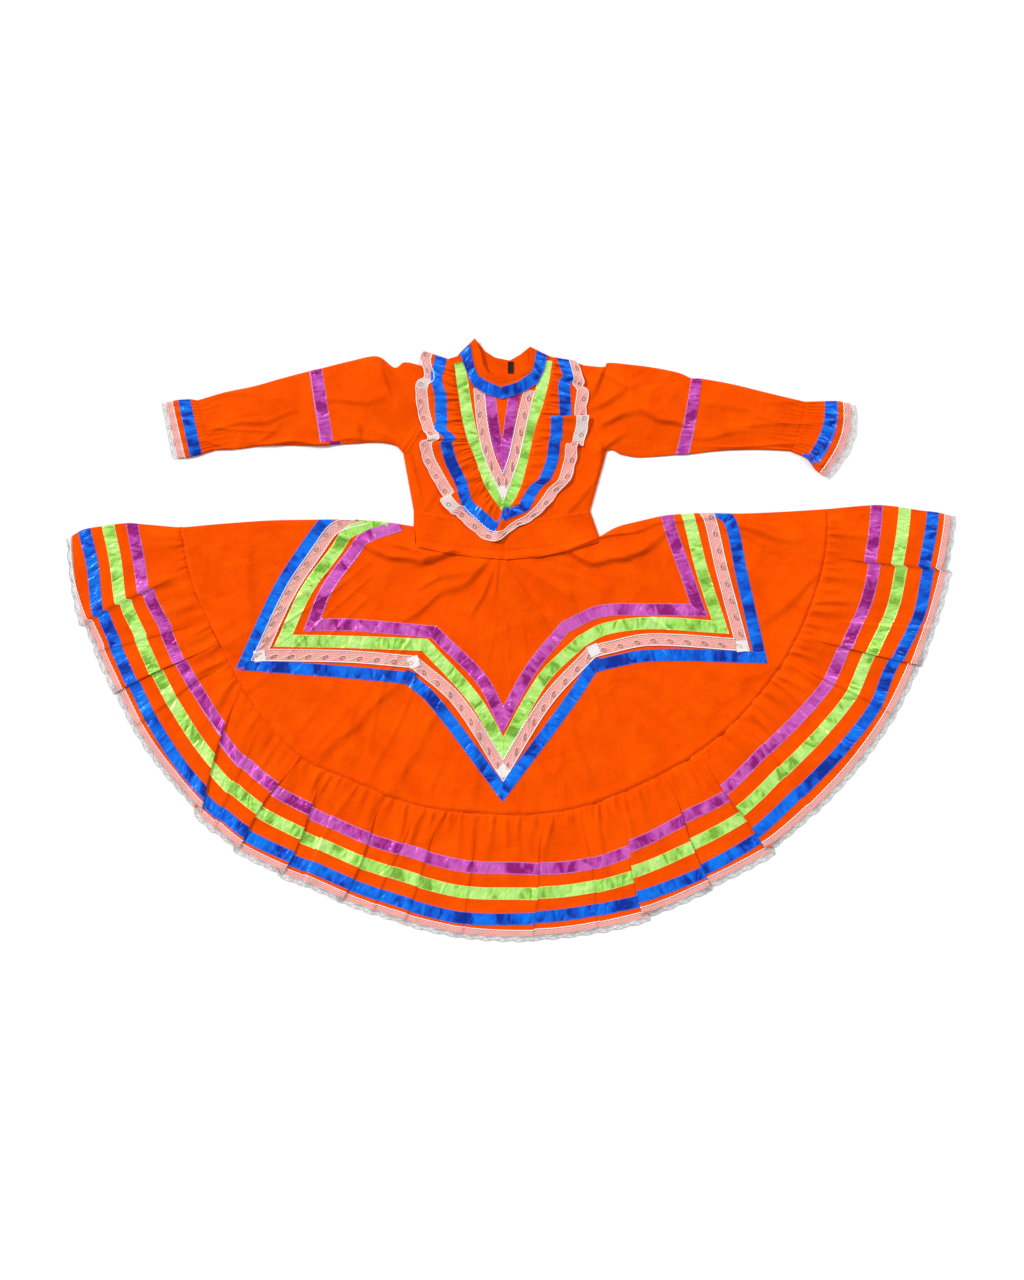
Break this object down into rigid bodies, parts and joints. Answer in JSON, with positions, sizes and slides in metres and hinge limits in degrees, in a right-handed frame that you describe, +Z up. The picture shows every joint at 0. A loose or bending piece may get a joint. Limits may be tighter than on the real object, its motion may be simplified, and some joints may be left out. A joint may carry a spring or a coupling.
{
  "type": "jalisco dress",
  "caption": "Child's long-sleeved folklorico dress laid flat: ribboned yoke, gathered bib ruffle, full circle skirt with a ribbon star and a ribboned flounce.",
  "frame": {"origin": "on the surface that the dress lies on, under the middle of its outline", "axes": "+X towards the wearer's left, from cuff to cuff; +Y from the hem towards the neck; +Z up, out of the dress's front"},
  "size_m": [1.5134, 1.0253, 0.0141],
  "materials": {
    "orange_poplin": "matt plain weave",
    "blue_satin": "shiny satin ribbon",
    "green_satin": "shiny satin ribbon",
    "purple_satin": "shiny satin ribbon",
    "lace": "matt net and cord",
    "label": "woven label, blank"
  },
  "bodies": {
    "root": {"skirt_front": "orange_poplin", "skirt_back": "orange_poplin", "star_purple": "purple_satin", "star_green": "green_satin", "star_lace": "lace", "star_blue": "blue_satin", "flounce_front": "orange_poplin", "flounce_ribbon_purple": "purple_satin", "flounce_ribbon_green": "green_satin", "flounce_ribbon_blue": "blue_satin", "hem_lace_front": "lace", "flounce_back": "orange_poplin", "hem_lace_back": "lace", "waistband_front": "orange_poplin", "waistband_back": "orange_poplin", "bodice_front": "orange_poplin", "yoke": "orange_poplin", "collar_front": "orange_poplin", "collar_ribbon": "blue_satin", "yoke_green": "green_satin", "yoke_lace": "lace", "yoke_purple": "purple_satin", "collar_back": "orange_poplin", "bodice_back": "orange_poplin", "neck_label": "label", "bib_ruffle": "orange_poplin", "ruffle_ribbon": "blue_satin", "ruffle_lace": "lace", "sleeve_right": "orange_poplin", "sleeve_left": "orange_poplin", "sleeve_band_right": "purple_satin", "sleeve_band_left": "purple_satin", "cuff_frill_right": "orange_poplin", "cuff_frill_left": "orange_poplin", "cuff_ribbon_right": "blue_satin", "cuff_ribbon_left": "blue_satin", "cuff_lace_right": "lace", "cuff_lace_left": "lace"}
  },
  "joints": []
}
